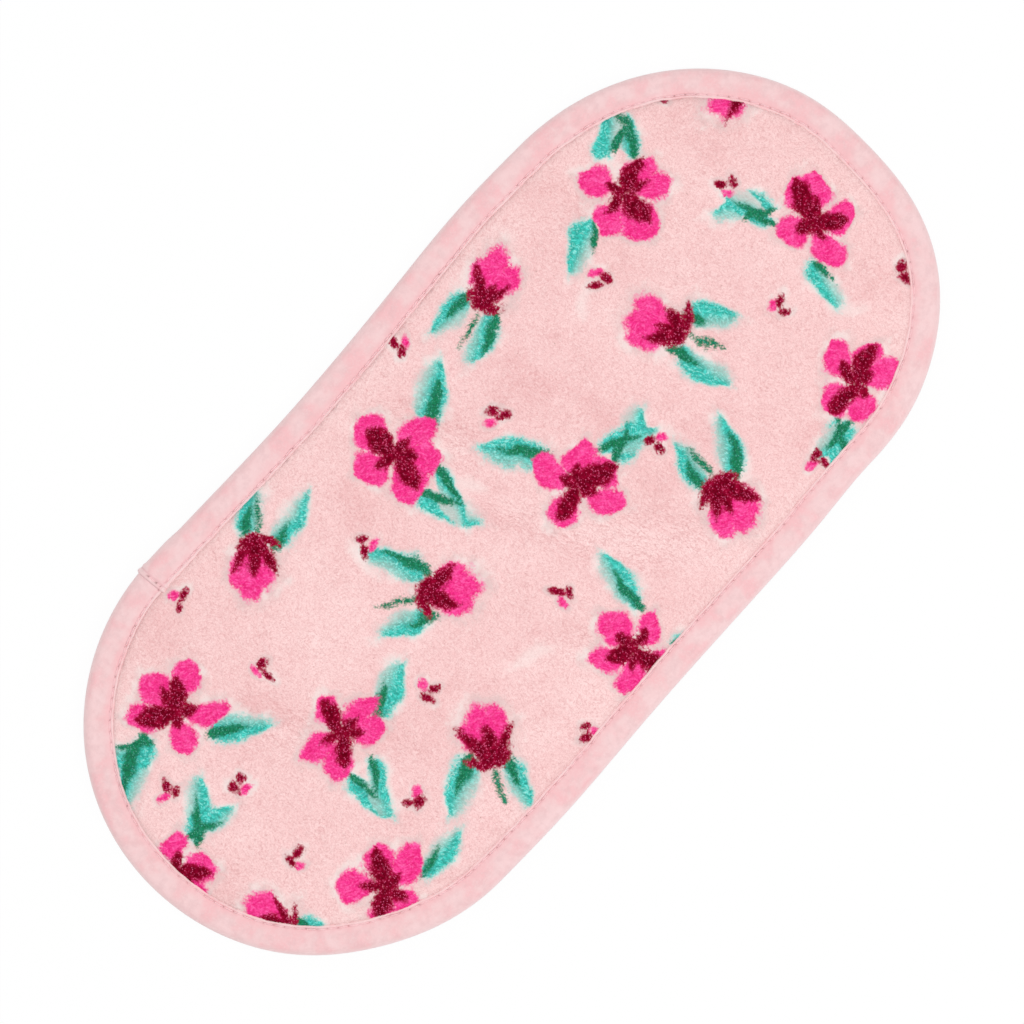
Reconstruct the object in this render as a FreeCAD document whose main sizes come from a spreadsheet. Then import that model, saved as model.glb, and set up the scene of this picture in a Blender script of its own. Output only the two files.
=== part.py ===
import FreeCAD, Part
import math
import os
import Sketcher

# An oblong plush eye pad: two plush panels with thin felted wadding between them. Their cut
# edges are gripped by one strip of folded tape, which is topstitched all round.
#
# Frame: X along the pad, Y across it, Z up. The origin is under the middle of the pad, on the
# surface that it rests on. The plan is a rectangle closed by two half circles, and each layer
# keeps one cross-section all the way round it.
#
# The two faces are alike, so heights count from the pad's middle plane, in which each sub-part
# has its own origin. A run is the distance from the plan's centre line out to a point.

# Driving dimensions in millimetres: cell alias, value, what it is.
SIZES = (
    ("pad_length", 240.0, "overall, rim to rim along X"),
    ("pad_width", 110.0, "overall, rim to rim along Y"),
    ("plush_loft", 3.0, "one plush panel, ground and pile, where nothing presses it"),
    ("pressed_plush", 0.9, "one plush panel inside the binding"),
    ("wadding_gauge", 0.8, "felted wadding, too firm for the binding to press"),
    ("layer_gap", 0.05, "air between two cloths that lie on each other"),
    ("roll_off", 9.0, "over which the loft falls away to the binding"),
    ("tape_gauge", 0.35, "thickness of the binding tape"),
    ("fold_gap", 0.1, "air inside a turned hem"),
    ("binding_width", 7.3, "finished face of the binding, rim to hem fold"),
    ("hem_depth", 4.5, "hem turned under on either face"),
    ("lap_length", 8.0, "over which the tape's end covers its start, along the rim"),
    ("joint_past_turn", 3.3, "from the end of the straight side to the lapped end's fold"),
    ("stitch_inset", 6.4, "topstitching, in from the rim"),
    ("stitch_pitch", 2.5, "from one needle hole to the next"),
    ("needle_hole", 0.5, "left open between two stitches"),
    ("thread_width", 0.35, "sewing thread lying on the tape"),
    ("thread_rise", 0.2, "how far the thread stands off the tape"),
    ("tack_inset", 0.9, "row across the binding, back from the lapped end's fold"),
)

# Along the pad, from its middle to the centre of either half round, and out to the rim.
TURN_CENTRE = "((Sizes.pad_length - Sizes.pad_width) / 2)"
RIM = "(Sizes.pad_width / 2)"

# Heights above the middle plane.
WADDING_TOP = "(Sizes.wadding_gauge / 2)"
PLUSH_UNDER = f"({WADDING_TOP} + Sizes.layer_gap)"
PLUSH_PRESSED = f"({PLUSH_UNDER} + Sizes.pressed_plush)"
PLUSH_TOP = f"({PLUSH_UNDER} + Sizes.plush_loft)"
HEM_UNDER = f"({PLUSH_PRESSED} + Sizes.layer_gap)"
HEM_TOP = f"({HEM_UNDER} + Sizes.tape_gauge)"
LEG_UNDER = f"({HEM_TOP} + Sizes.fold_gap)"
LEG_TOP = f"({LEG_UNDER} + Sizes.tape_gauge)"
LAP_UNDER = f"({LEG_TOP} - Sizes.tape_gauge / 2)"
LAP_TOP = f"({LEG_TOP} + Sizes.tape_gauge)"
FOLD_MIDDLE = f"(({HEM_TOP} + {LEG_UNDER}) / 2)"

# Runs.
EDGE_ROUND = f"({RIM} - {LEG_TOP})"
HEM_FOLD = f"({RIM} - Sizes.binding_width)"
HEM_BEND = f"({HEM_FOLD} + Sizes.tape_gauge)"
HEM_RAW_EDGE = f"({HEM_FOLD} + Sizes.hem_depth)"
PRESS_START = f"({HEM_FOLD} - Sizes.layer_gap)"
ROLL_START = f"({PRESS_START} - Sizes.roll_off)"
STITCH_LINE = f"({RIM} - Sizes.stitch_inset)"

# The plush rises from the hem fold to its full loft on one arc, level where it ends.
PLUSH_RISE = f"({PLUSH_TOP} - {LEG_TOP})"
ROLL_RADIUS = f"((Sizes.roll_off ^ 2 + {PLUSH_RISE} ^ 2) / (2 * {PLUSH_RISE}))"

# The lapped end's fold, past the end of the straight side, in degrees.
JOINT_ANGLE = f"(Sizes.joint_past_turn / {RIM} * 180 / pi)"

# The tape goes round the rim in this many creases on either face.
RIM_CREASES = 3

# The points of a drawn edge, in the order in which a sketch numbers them.
POINTS = ("edge", "start", "end", "centre")

document = FreeCAD.newDocument("plush_eye_pad")
sheet = document.addObject("Spreadsheet::Sheet", "Sizes")
for row, (alias, value, meaning) in enumerate(SIZES, start=1):
    sheet.set(f"A{row}", meaning)
    sheet.set(f"B{row}", str(value))
    sheet.setAlias(f"B{row}", alias)
document.recompute()


def value_of(expression):
    """What an expression in the sheet's cells comes to."""
    return float(sheet.evalExpression(expression))


def lift_to_middle(sub_part):
    """Put a sub-part's own origin in the pad's middle plane, above the resting face."""
    sub_part.setExpression("Placement.Base.z", PLUSH_TOP)


def new_body(label):
    body = document.addObject("PartDesign::Body", label)
    body.Label = label
    lift_to_middle(body)
    return body


def origin_feature(body, role):
    return next(f for f in body.Origin.OriginFeatures if f.Role == role)


def section_sketch(body, name, station, corners):
    """A closed outline across the pad at X = station, drawn as runs and heights.

    Each corner is (run, height), or (run, height, centre run, centre height) where the edge to
    the next corner is an anticlockwise arc about that centre. The sketch's vertical axis is the
    axis of the half round.
    """
    sketch = body.newObject("Sketcher::SketchObject", name)
    sketch.AttachmentSupport = [(origin_feature(body, "YZ_Plane"), "")]
    sketch.MapMode = "FlatFace"
    sketch.setExpression("AttachmentOffset.Base.z", station)
    places = [FreeCAD.Vector(value_of(c[0]), value_of(c[1]), 0) for c in corners]
    edges = []
    for number, corner in enumerate(corners):
        following = places[(number + 1) % len(places)]
        edges.append(sketch.addGeometry(edge_curve(corner, places[number], following), False))
    for number, edge in enumerate(edges):
        next_edge = edges[(number + 1) % len(edges)]
        meeting = (edge, POINTS.index("end"), next_edge, POINTS.index("start"))
        sketch.addConstraint(Sketcher.Constraint("Coincident", *meeting))
    for number, (corner, edge) in enumerate(zip(corners, edges)):
        hold(sketch, edge, "start", "X", corner[0], f"corner_{number}_run")
        hold(sketch, edge, "start", "Y", corner[1], f"corner_{number}_height")
        if len(corner) > 2:
            hold_centre(sketch, edge, corner[2], f"corner_{number}_bend")
    return sketch


def edge_curve(corner, start, end):
    """The line or arc that leaves a corner."""
    if len(corner) == 2:
        return Part.LineSegment(start, end)
    centre = FreeCAD.Vector(value_of(corner[2]), value_of(corner[3]), 0)
    circle = Part.Circle(centre, FreeCAD.Vector(0, 0, 1), (start - centre).Length)
    angles = [math.atan2(p.y - centre.y, p.x - centre.x) for p in (start, end)]
    return Part.ArcOfCircle(circle, *angles)


def hold(sketch, edge, point, axis, expression, name):
    """Hold one coordinate of a point: on the sketch's own axis, or at a size from the sheet."""
    place = (edge, POINTS.index(point))
    if expression == "0":
        axis_line = -2 if axis == "X" else -1
        sketch.addConstraint(Sketcher.Constraint("PointOnObject", *place, axis_line))
        return
    value = value_of(expression)
    constraint = Sketcher.Constraint(f"Distance{axis}", -1, 1, *place, value)
    number = sketch.addConstraint(constraint)
    sketch.renameConstraint(number, name)
    sketch.setExpression(f"Constraints.{name}", expression)


def hold_centre(sketch, edge, run, name):
    """An arc's ends are held already, so its centre needs only its run."""
    hold(sketch, edge, "centre", "X", run, name)


def round_rim(radius):
    """Corners round the rim at one distance from the middle of its round, which lies in the
    middle plane: from the outermost one up to the flat face."""
    corners = []
    for step in range(RIM_CREASES + 1):
        turn = math.pi / 2 * step / RIM_CREASES
        run = f"({EDGE_ROUND} + {radius} * {math.cos(turn):.9f})"
        height = f"({radius} * {math.sin(turn):.9f})"
        corners.append((run, height if step else "0"))
    return corners


def sweep_round(body, corners):
    """Carry a section round the whole plan: a half round and one side, then the same again
    turned about the middle of the pad."""
    sketch = section_sketch(body, f"{body.Label}_section", TURN_CENTRE, corners)
    half_round = body.newObject("PartDesign::Revolution", f"{body.Label}_half_round")
    half_round.Profile = sketch
    half_round.ReferenceAxis = (sketch, ["V_Axis"])
    half_round.Angle = 180
    half_round.Reversed = True
    side = body.newObject("PartDesign::Pad", f"{body.Label}_side")
    side.Profile = sketch
    side.Reversed = True
    side.setExpression("Length", f"2 * {TURN_CENTRE}")
    whole = body.newObject("PartDesign::PolarPattern", f"{body.Label}_whole_round")
    whole.Originals = [half_round, side]
    whole.Axis = (origin_feature(body, "Z_Axis"), [""])
    whole.Angle = 360
    whole.Occurrences = 2
    body.Tip = whole
    return sketch


def mirror_down(body):
    """Add the lower half of a body whose two faces are alike."""
    document.recompute()
    mirrored = body.newObject("PartDesign::Mirrored", f"{body.Label}_both_faces")
    mirrored.TransformMode = "Whole shape"
    mirrored.MirrorPlane = (origin_feature(body, "XY_Plane"), [""])
    body.Tip = mirrored


def make_wadding():
    """Thin felted filling, cut like the panels and caught with them in the binding."""
    wadding = new_body("wadding")
    sweep_round(wadding, [
        ("0", "0"),
        (EDGE_ROUND, "0"),
        (EDGE_ROUND, WADDING_TOP),
        ("0", WADDING_TOP),
    ])
    mirror_down(wadding)
    return wadding


def make_plush(label):
    """One plush panel: pressed flat inside the binding, standing up beside its hem fold and
    rolling to its full loft."""
    plush = new_body(label)
    sweep_round(plush, [
        ("0", PLUSH_UNDER),
        (EDGE_ROUND, PLUSH_UNDER),
        (EDGE_ROUND, PLUSH_PRESSED),
        (PRESS_START, PLUSH_PRESSED),
        (PRESS_START, LEG_TOP, ROLL_START, f"({PLUSH_TOP} - {ROLL_RADIUS})"),
        (ROLL_START, PLUSH_TOP),
        ("0", PLUSH_TOP),
    ])
    return plush


def make_binding():
    """One strip of tape folded over the rim, with a hem turned under on either face. Its end
    laps over its start a little past the straight side."""
    binding = new_body("edge_binding")
    sweep_round(binding, [
        *round_rim(LEG_TOP),
        (HEM_BEND, LEG_TOP),
        (HEM_FOLD, f"({FOLD_MIDDLE} + Sizes.tape_gauge / 2)"),
        (HEM_FOLD, f"({FOLD_MIDDLE} - Sizes.tape_gauge / 2)"),
        (HEM_BEND, HEM_UNDER),
        (HEM_RAW_EDGE, HEM_UNDER),
        (HEM_RAW_EDGE, HEM_TOP),
        (HEM_BEND, HEM_TOP),
        (HEM_BEND, LEG_UNDER),
        *reversed(round_rim(LEG_UNDER)),
    ])
    lap = section_sketch(binding, "edge_binding_lap_section", f"-{TURN_CENTRE}", [
        *round_rim(LAP_TOP),
        (HEM_BEND, LAP_TOP),
        (HEM_BEND, LAP_UNDER),
        *reversed(round_rim(LAP_UNDER)),
    ])
    past_turn = binding.newObject("PartDesign::Revolution", "lap_past_turn")
    past_turn.Profile = lap
    past_turn.ReferenceAxis = (lap, ["V_Axis"])
    past_turn.setExpression("Angle", JOINT_ANGLE)
    along_side = binding.newObject("PartDesign::Pad", "lap_along_side")
    along_side.Profile = lap
    along_side.setExpression("Length", "Sizes.lap_length - Sizes.joint_past_turn")
    mirror_down(binding)
    return binding


def on_plan(run, distance):
    """Place and heading on the line that keeps one run all round, a distance along it from the
    start of the far straight side, clockwise as seen from above."""
    centre = value_of(TURN_CENTRE)
    side = 2 * centre
    half_turn = math.pi * run
    distance %= 2 * (side + half_turn)
    turned_over = distance >= side + half_turn
    if turned_over:
        distance -= side + half_turn
    angle = max(0.0, distance - side) / run
    x = -centre + min(distance, side) + run * math.sin(angle)
    y = run * math.cos(angle)
    if turned_over:
        return -x, -y, math.pi - angle
    return x, y, -angle


def stitch(length, x, y, base, heading):
    """One visible stitch, a short ridge of thread centred at x and y on the tape."""
    half_width = value_of("Sizes.thread_width") / 2
    start = -length / 2
    across = [
        FreeCAD.Vector(start, -half_width, 0),
        FreeCAD.Vector(start, half_width, 0),
        FreeCAD.Vector(start, 0, value_of("Sizes.thread_rise")),
    ]
    section = Part.Face(Part.makePolygon([*across, across[0]]))
    thread = section.extrude(FreeCAD.Vector(length, 0, 0))
    thread.rotate(FreeCAD.Vector(), FreeCAD.Vector(0, 0, 1), math.degrees(heading))
    thread.translate(FreeCAD.Vector(x, y, base))
    return thread


def topstitches():
    """The round of topstitching as it lies on the front, begun at the lapped end's fold."""
    run = value_of(STITCH_LINE)
    joint = -math.radians(value_of(JOINT_ANGLE)) * run
    lap_end = value_of("Sizes.lap_length - Sizes.joint_past_turn")
    whole_round = 4 * value_of(TURN_CENTRE) + 2 * math.pi * run
    count = round(whole_round / value_of("Sizes.stitch_pitch"))
    pitch = whole_round / count
    row = []
    for number in range(count):
        on_lap = joint + number * pitch < lap_end
        base = value_of(LAP_TOP if on_lap else LEG_TOP)
        x, y, heading = on_plan(run, joint + (number + 0.5) * pitch)
        row.append(stitch(pitch - value_of("Sizes.needle_hole"), x, y, base, heading))
    return row


def joint_stitches():
    """The short row that holds the lapped end down, from the topstitching out to the rim."""
    innermost, outermost = value_of(STITCH_LINE), value_of(EDGE_ROUND)
    count = max(1, round((outermost - innermost) / value_of("Sizes.stitch_pitch")))
    pitch = (outermost - innermost) / count
    past_turn = value_of("Sizes.joint_past_turn - Sizes.tack_inset") / value_of(RIM)
    row = []
    for number in range(count):
        run = innermost + (number + 0.5) * pitch
        x, y, heading = on_plan(run, -past_turn * run)
        across = heading + math.pi / 2
        length = pitch - value_of("Sizes.needle_hole")
        row.append(stitch(length, x, y, value_of(LAP_TOP), across))
    return row


def thread_part(label, stitches):
    thread = document.addObject("Part::Feature", label)
    thread.Label = label
    thread.Shape = Part.makeCompound(stitches)
    lift_to_middle(thread)
    return thread


def on_back(stitches):
    """The same stitches on the back face."""
    return [s.mirror(FreeCAD.Vector(), FreeCAD.Vector(0, 0, 1)) for s in stitches]


front_plush = make_plush("front_plush")
back_plush = make_plush("back_plush")
back_plush.Placement.Rotation = FreeCAD.Rotation(FreeCAD.Vector(1, 0, 0), 180)
sub_parts = [
    front_plush,
    make_wadding(),
    back_plush,
    make_binding(),
    thread_part("needle_thread", topstitches()),
    thread_part("bobbin_thread", on_back(topstitches())),
    thread_part("joint_stitching", joint_stitches() + on_back(joint_stitches())),
]
document.recompute()

for item in document.Objects:
    if "Invalid" in item.State or "Error" in item.State:
        raise RuntimeError(f"{item.Label} failed: {item.State}")
for sub_part in sub_parts:
    if sub_part.Shape.isNull() or not sub_part.Shape.isValid():
        raise RuntimeError(f"{sub_part.Label} has no valid shape")

os.makedirs("parts", exist_ok=True)
for sub_part in sub_parts:
    sub_part.Shape.exportStep(f"parts/{sub_part.Label}.step")
    box = sub_part.Shape.optimalBoundingBox()
    print(
        f"{sub_part.Label}: {len(sub_part.Shape.Solids)} solid(s), "
        f"{sub_part.Shape.Volume:.1f} mm3, {box.XLength:.2f} x {box.YLength:.2f} mm, "
        f"Z {box.ZMin:.2f} to {box.ZMax:.2f} mm"
    )
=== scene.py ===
import functools
import math

import bpy
import numpy as np
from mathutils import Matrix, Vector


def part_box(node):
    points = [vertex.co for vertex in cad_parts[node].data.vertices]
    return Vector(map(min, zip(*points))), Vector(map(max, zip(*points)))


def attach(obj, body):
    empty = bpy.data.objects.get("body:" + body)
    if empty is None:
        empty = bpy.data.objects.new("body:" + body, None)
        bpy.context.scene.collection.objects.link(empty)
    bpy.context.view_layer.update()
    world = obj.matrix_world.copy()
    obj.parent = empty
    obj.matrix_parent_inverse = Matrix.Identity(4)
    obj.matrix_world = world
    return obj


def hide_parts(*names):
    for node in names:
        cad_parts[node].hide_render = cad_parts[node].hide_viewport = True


# The looks of a plush eye pad: two plush panels with felted wadding between them, edged with
# folded tape that is topstitched all round. The upper panel carries a floral print.
#
# Lengths are in metres. A "run" is the distance from the plan's centre line, an "inset" the
# distance in from the rim, and a "place" the distance along the nominal rim, clockwise as seen
# from above, from where the side at +Y leaves the half round at -X. A "rise" is a height away
# from the pad's middle plane, on either face. Face 0 is the upper one and face 1 the lower.

MM = 0.001

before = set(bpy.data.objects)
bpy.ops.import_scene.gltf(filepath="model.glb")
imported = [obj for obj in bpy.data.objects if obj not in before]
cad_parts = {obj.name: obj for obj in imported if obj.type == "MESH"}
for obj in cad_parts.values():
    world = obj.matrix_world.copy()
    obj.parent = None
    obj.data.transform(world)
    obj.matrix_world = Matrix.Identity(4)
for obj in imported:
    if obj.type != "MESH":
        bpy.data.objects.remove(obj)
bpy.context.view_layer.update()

# ---- sizes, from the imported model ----

binding_low, binding_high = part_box("edge_binding")
panel_low, panel_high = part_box("front_plush")
wadding_low, wadding_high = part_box("wadding")
thread_low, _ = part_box("needle_thread")

RIM = -binding_low.y
TURN = binding_high.x - RIM
MIDDLE = (wadding_low.z + wadding_high.z) / 2
WADDING_TOP = wadding_high.z - MIDDLE
PLUSH_UNDER = panel_low.z - MIDDLE
PLUSH_TOP = panel_high.z - MIDDLE
TAPE_TOP = thread_low.z - MIDDLE
PANEL_EDGE = RIM - panel_high.y
RIM_LENGTH = 4 * TURN + 2 * math.pi * RIM

# The folded tape, as it is cut and turned.
TAPE_GAUGE = 0.35 * MM
BINDING_WIDTH = 7.3 * MM
HEM_DEPTH = 4.5 * MM
HEM_MIDDLE = 1.575 * MM
LAP_LENGTH = 8.0 * MM
JOINT_PLACE = -3.3 * MM

# The topstitching, and how far it draws both faces in towards the middle.
STITCH_INSET = 6.4 * MM
STITCHES = 226
THREAD_RADIUS = 0.16 * MM
STITCH_RUN = RIM - STITCH_INSET
STITCH_LINE_LENGTH = 4 * TURN + 2 * math.pi * STITCH_RUN
STITCH_PITCH = STITCH_LINE_LENGTH / STITCHES
JOINT_DISTANCE = JOINT_PLACE * STITCH_RUN / RIM
SEAM_PRESS = 0.13 * MM
# The stitches across the lapped end: their insets, and how far back they are from its fold.
LAP_STITCHES = ((2.55 * MM, 4.65 * MM), (4.95 * MM, 6.15 * MM))
LAP_STITCH_BACK = 0.9 * MM

# Where the sewing drew the rim in or let it out, to half a millimetre: place along the rim,
# how far out, over what length, in millimetres.
RIM_SWELLS = (
    (45, -1.0, 30), (110, 1.5, 25), (220, -1.0, 15), (255, 1.0, 20),
    (305, -1.0, 15), (410, 1.0, 25), (465, -1.0, 20), (550, 1.0, 35),
)


# ---- places on the plan ----

def smooth_step(value, low, high):
    t = np.clip((value - low) / (high - low), 0, 1)
    return t * t * (3 - 2 * t)


def hump(value, middle, reach):
    """A soft hump, 1 high at its middle."""
    return np.exp(-((value - middle) / reach) ** 2)


def from_centre_line(x, y):
    """Where on the plan's centre line each point's run starts, and that run."""
    centre = np.clip(x, -TURN, TURN)
    return centre, np.hypot(x - centre, y)


def place_of(x, y):
    """The place on the nominal rim that lies straight out from each point."""
    centre, _ = from_centre_line(x, y)
    round_right = 2 * TURN + np.arctan2(x - centre, y) * RIM
    round_left = 4 * TURN + math.pi * RIM + np.arctan2(centre - x, -y) * RIM
    sides = np.where(y > 0, x + TURN, 3 * TURN + math.pi * RIM - x)
    return np.where(x > TURN, round_right, np.where(x < -TURN, round_left, sides)) % RIM_LENGTH


def swell_at(place):
    """How far the sewn rim stands outside the nominal one."""
    total = np.zeros_like(place)
    for centre, out, reach in RIM_SWELLS:
        off = np.abs(place - centre * MM)
        total += out * MM * hump(np.minimum(off, RIM_LENGTH - off), 0, reach * MM)
    return total


def inset_of(x, y):
    """How far each point lies inside the sewn rim."""
    return RIM - from_centre_line(x, y)[1] + swell_at(place_of(x, y))


def moved_out(x, y, step):
    """Points moved straight out from the centre line."""
    centre, run = from_centre_line(x, y)
    share = step / np.maximum(run, MM)
    return x + (x - centre) * share, y + y * share


def on_stitch_line(distance):
    """Points at the stitching's run, with their outward directions, for distances along it
    from the same start as places."""
    side, half_turn = 2 * TURN, math.pi * STITCH_RUN
    d = distance % STITCH_LINE_LENGTH
    second = d >= side + half_turn
    d = np.where(second, d - side - half_turn, d)
    turned = np.clip((d - side) / STITCH_RUN, 0, math.pi)
    sign = np.where(second, -1.0, 1.0)
    out_x, out_y = np.sin(turned) * sign, np.cos(turned) * sign
    return (np.minimum(d, side) - TURN) * sign + STITCH_RUN * out_x, STITCH_RUN * out_y, out_x, out_y


def at_inset(distance, inset):
    """Points inset from the sewn rim, straight out from the stitching's nominal line."""
    x, y, out_x, out_y = on_stitch_line(distance)
    reach = STITCH_INSET - inset + swell_at(place_of(x, y))
    return x + out_x * reach, y + out_y * reach


# ---- unevenness ----

# Noise covers the plan this far out from the pad's centre.
NOISE_REACH = 160 * MM


def blended(table, u, v, ease=lambda share: share):
    """A table's number for each point, between the four entries round it. Points are given in
    rows and columns."""
    i, j = np.floor(u).astype(int), np.floor(v).astype(int)
    u, v = ease(u - i), ease(v - j)
    low = table[i, j] * (1 - u) + table[i + 1, j] * u
    high = table[i, j + 1] * (1 - u) + table[i + 1, j + 1] * u
    return low * (1 - v) + high * v


def uneven(x, y, *waves):
    """Smooth unevenness: a sum of waves, each given by how far it swings either way, how wide
    its bumps are, in millimetres, and a seed."""
    total = 0
    for swing, width, seed in waves:
        cell = width * MM
        count = int(2 * NOISE_REACH / cell) + 4
        lattice = np.random.default_rng(seed).uniform(-1, 1, (count, count))
        total = total + swing * blended(lattice, (x + NOISE_REACH) / cell, (y + NOISE_REACH) / cell,
                                        lambda share: smooth_step(share, 0, 1))
    return total


def lip_wave(x, y):
    """How far the binding's inner fold wanders inwards, for points anywhere on the plan."""
    x, y = moved_out(x, y, STITCH_RUN - from_centre_line(x, y)[1])
    return MM * uneven(x, y, (0.20, 15, 79), (0.11, 6, 80), (0.10, 2.1, 81))


def seam_press(inset):
    """How far the stitching draws both faces in towards the middle."""
    return SEAM_PRESS * hump(inset, STITCH_INSET, 1.0 * MM)


def seam_shift(x, y, inset):
    """How far the seam drifts inwards with the lip; the rim itself doesn't."""
    return lip_wave(x, y) * smooth_step(inset, 5 * MM, 7 * MM)


def mesh_object(name, points, faces, smooth=True, attributes=None):
    """A mesh piece, linked to the scene. Each attribute is one number per vertex."""
    mesh = bpy.data.meshes.new(name)
    faces = [list(map(int, face)) for face in faces]
    mesh.from_pydata(np.asarray(points, float).tolist(), [], faces, shade_flat=not smooth)
    for key, values in (attributes or {}).items():
        layer = mesh.attributes.new(key, "FLOAT", "POINT")
        layer.data.foreach_set("value", np.asarray(values, np.float32))
    mesh.update()
    piece = bpy.data.objects.new(name, mesh)
    bpy.context.scene.collection.objects.link(piece)
    return piece


# ---- the filling, blown up by simulation ----

FILLING_CELL = 3.0 * MM
FILLING_FRAMES = 20
FILLING_RISE = 0.35 * MM
# The trial cushion: half its thickness where it is held, its dome, and that dome's shoulder.
TRIAL_HALF = 1.5 * MM
TRIAL_DOME = 1.0 * MM
TRIAL_SHOULDER = 12 * MM
TRIAL_CLOTH = {
    "use_pressure": True, "uniform_pressure_force": 4.0, "mass": 0.15, "tension_stiffness": 8,
    "compression_stiffness": 8, "shear_stiffness": 4, "bending_stiffness": 0.3,
    "shrink_min": -0.03, "vertex_group_mass": "held",
}


def plan_grid(cell, edge_inset):
    """Grid points inside an inset, their quads, and the loop of border vertices, which are
    moved out to the inset itself."""
    half_x, half_y = TURN + RIM + 2 * MM, RIM + 2 * MM
    across, along = int(2 * half_y / cell) + 1, int(2 * half_x / cell) + 1
    j, i = np.meshgrid(np.arange(across), np.arange(along))
    x = (i - (along - 1) / 2).ravel() * cell
    y = (j - (across - 1) / 2).ravel() * cell
    inside = inset_of(x, y) > edge_inset
    corner = (np.arange(along - 1)[:, None] * across + np.arange(across - 1)).ravel()
    quads = np.stack([corner, corner + across, corner + across + 1, corner + 1], 1)
    quads = quads[inside[quads].all(1)]
    used = np.unique(quads)
    renumber = np.full(len(x), -1)
    renumber[used] = np.arange(len(used))
    x, y, quads = x[used], y[used], renumber[quads]
    loop = border_loop(quads)
    for _ in range(3):
        step = inset_of(x[loop], y[loop]) - edge_inset
        x[loop], y[loop] = moved_out(x[loop], y[loop], step)
    return x, y, quads, loop


def border_loop(quads):
    """The vertices round the outside of a patch of quads, in order."""
    starts = quads.ravel()
    ends = np.roll(quads, -1, axis=1).ravel()
    size = int(starts.max()) + 1
    both = np.intersect1d(starts * size + ends, ends * size + starts)
    keep = ~np.isin(starts * size + ends, both)
    following = dict(zip(starts[keep].tolist(), ends[keep].tolist()))
    first = next(iter(following))
    loop = [first]
    while following[loop[-1]] != first:
        loop.append(following[loop[-1]])
    return np.array(loop)


def trial_cushion(x, y, quads, loop):
    """A thin cushion of cloth, held round its border, where the binding grips it."""
    count = len(x)
    dome = TRIAL_DOME * smooth_step(inset_of(x, y), BINDING_WIDTH, BINDING_WIDTH + TRIAL_SHOULDER)
    upper = np.stack([x, y, TRIAL_HALF + dome], 1)
    lower = upper * (1, 1, -1)
    walls = [(a, b, b + count, a + count) for a, b in zip(np.roll(loop, -1), loop)]
    faces = list(quads) + [tuple(q[::-1] + count) for q in quads] + walls
    cushion = mesh_object("filling_trial", np.concatenate([upper, lower]), faces)
    held = cushion.vertex_groups.new(name="held")
    held.add([int(v) for v in np.concatenate([loop, loop + count])], 1.0, "REPLACE")
    cloth = cushion.modifiers.new("cloth", "CLOTH")
    cloth.settings.effector_weights.gravity = 0
    for key, value in TRIAL_CLOTH.items():
        setattr(cloth.settings, key, value)
    cloth.point_cache.frame_start, cloth.point_cache.frame_end = 1, FILLING_FRAMES
    return cushion


def simulated_rise():
    """Blow up the trial cushion."""
    x, y, quads, loop = plan_grid(FILLING_CELL, BINDING_WIDTH)
    cushion = trial_cushion(x, y, quads, loop)
    for number in range(1, FILLING_FRAMES + 1):
        bpy.context.scene.frame_set(number)
    evaluated = cushion.evaluated_get(bpy.context.evaluated_depsgraph_get())
    moved = np.empty(len(evaluated.data.vertices) * 3)
    evaluated.data.vertices.foreach_get("co", moved)
    heights = moved.reshape(-1, 3)[:, 2]
    bpy.data.objects.remove(cushion)
    bpy.context.scene.frame_set(1)
    return height_lookup(x, y, heights[:len(x)], -heights[len(x):])


def height_lookup(x, y, upper, lower):
    """Turn the simulated heights into capped, centred unevenness on a regular table."""
    span_x, span_y = TURN + RIM, RIM
    wide, deep = int(2 * span_x / FILLING_CELL) + 2, int(2 * span_y / FILLING_CELL) + 2
    tables = []
    i = np.rint((x + span_x) / FILLING_CELL).astype(int).clip(0, wide - 1)
    j = np.rint((y + span_y) / FILLING_CELL).astype(int).clip(0, deep - 1)
    for heights in (upper, lower):
        total, hits = np.zeros((wide, deep)), np.zeros((wide, deep))
        rise = heights - np.median(heights)
        rise = rise / max(np.percentile(np.abs(rise), 98), 1e-9) * FILLING_RISE
        np.add.at(total, (i, j), np.clip(rise, -FILLING_RISE, FILLING_RISE))
        np.add.at(hits, (i, j), 1)
        tables.append(np.where(hits > 0, total / np.maximum(hits, 1), -FILLING_RISE))

    def lookup(px, py, face):
        u = ((px + span_x) / FILLING_CELL).clip(0, wide - 1.001)
        v = ((py + span_y) / FILLING_CELL).clip(0, deep - 1.001)
        return blended(tables[face], u, v)
    return lookup


# ---- the print ----

# Its motifs are placed in millimetres and turned in degrees.

# Blossoms seen from above, with leaves behind them: (x, y, width, turn).
BLOSSOMS = (
    (-86, 27, 20, 12), (-8, 29, 21, 95), (72, 30, 20, 250), (-64, -5, 19, 85),
    (15, -7, 20, 190), (97, -6, 20, 310), (-84, -36, 20, 65), (-4, -42, 19, 150),
    (76, -39, 19, 30), (-114, 2, 19, 200),
)
# Half-open buds seen from the side, with a leaf either side: (x, y, length, heading).
BUDS = (
    (-46, 38, 19, 215), (33, 38, 19, 20), (-26, 1, 20, 320), (56, 1, 20, 115),
    (-44, -33, 20, 60), (36, -33, 20, 255), (109, 27, 18, 170), (-106, -24, 17, 100),
)
# Sprigs of three berries: (x, y, heading).
SPRIGS = (
    (-66, 18, 30), (-27, 20, 200), (14, 17, 75), (53, 22, 310), (90, 13, 120), (-88, 4, 160),
    (-44, -13, 330), (-6, -22, 100), (35, -13, 240), (76, -14, 15), (-64, -27, 280),
    (56, -45, 60), (-25, -47, 190), (-67, 44, 350), (12, 46, 230), (-92, -17, 140),
    (-101, 15, 60), (103, -30, 200), (94, 40, 20),
)
# Strokes of the brush that left next to no dye: (x, y, heading, length, bend).
PALE_STROKES = (
    (-30, 24, 250, 12, 0.2), (44, 18, 40, 11, -0.2), (-16, -28, 150, 13, 0.15),
    (84, -22, 300, 10, 0.2), (-74, -18, 20, 11, -0.15), (0, 8, 110, 10, 0.2),
)

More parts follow.
